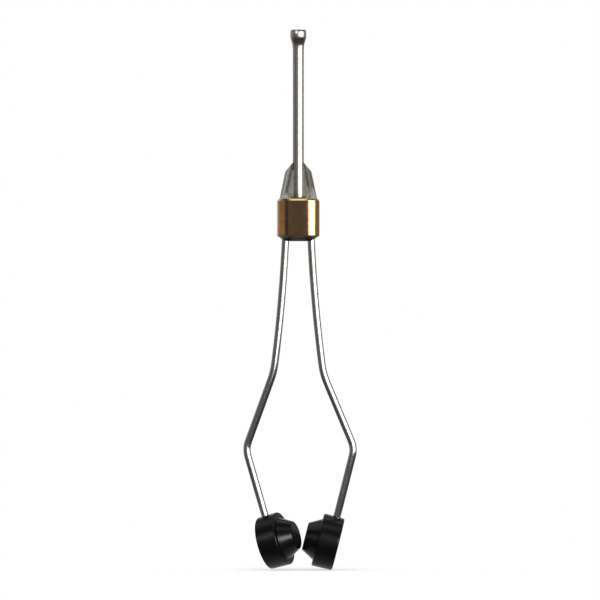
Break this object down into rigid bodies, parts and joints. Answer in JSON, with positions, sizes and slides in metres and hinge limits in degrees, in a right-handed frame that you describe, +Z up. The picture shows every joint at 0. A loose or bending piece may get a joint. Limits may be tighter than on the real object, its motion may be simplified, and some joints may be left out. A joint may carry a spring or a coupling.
{
  "type": "fly tying bobbin holder",
  "caption": "Thread bobbin holder for fly tying: flared thread tube and sprung wire arms soldered in a brass collar, with swivelling black feet that grip a spool.",
  "frame": {"origin": "on the thread tube's axis, half way up the brass collar", "axes": "+Z up the thread tube to its flared tip; the two arms lie in the XZ plane; +X towards the right arm as pictured; the picture looks along +Y"},
  "size_m": [0.0245, 0.0122, 0.1167],
  "materials": {
    "tube_steel": "polished stainless steel, fine lengthwise lines",
    "collar_brass": "polished turned brass with light handling wear",
    "silver_solder": "satin grey silver solder",
    "wire_steel": "bright drawn stainless spring wire",
    "foot_plastic": "black moulded plastic, soft gloss"
  },
  "bodies": {
    "tube_and_collar": {"thread_tube": "tube_steel", "brass_collar": "collar_brass", "solder_fill": "silver_solder", "left_wire_root": "wire_steel", "right_wire_root": "wire_steel"},
    "left_arm": {"left_arm": "wire_steel"},
    "right_arm": {"right_arm": "wire_steel"},
    "left_foot": {"left_foot": "foot_plastic"},
    "right_foot": {"right_foot": "foot_plastic"}
  },
  "joints": [
    {"name": "left_arm_flex", "type": "hinge", "parent": "tube_and_collar", "child": "left_arm", "pos_m": [-0.00276, 0, -0.00403], "axis": [0, 1, 0], "range_deg": [0, 11], "stiffness_Nm_per_rad": 2.1, "springref_deg": -1.72},
    {"name": "right_arm_flex", "type": "hinge", "parent": "tube_and_collar", "child": "right_arm", "pos_m": [0.00276, 0, -0.00403], "axis": [0, -1, 0], "range_deg": [0, 11], "stiffness_Nm_per_rad": 2.1, "springref_deg": -1.72},
    {"name": "left_foot_swivel", "type": "hinge", "parent": "left_arm", "child": "left_foot", "pos_m": [-0.00561, 0, -0.06939], "axis": [-0.2756, 0, 0.9613], "range_deg": [-8, 34]},
    {"name": "right_foot_swivel", "type": "hinge", "parent": "right_arm", "child": "right_foot", "pos_m": [0.00694, 0, -0.06965], "axis": [0.2453, 0, 0.9694], "range_deg": [-8, 8]}
  ]
}
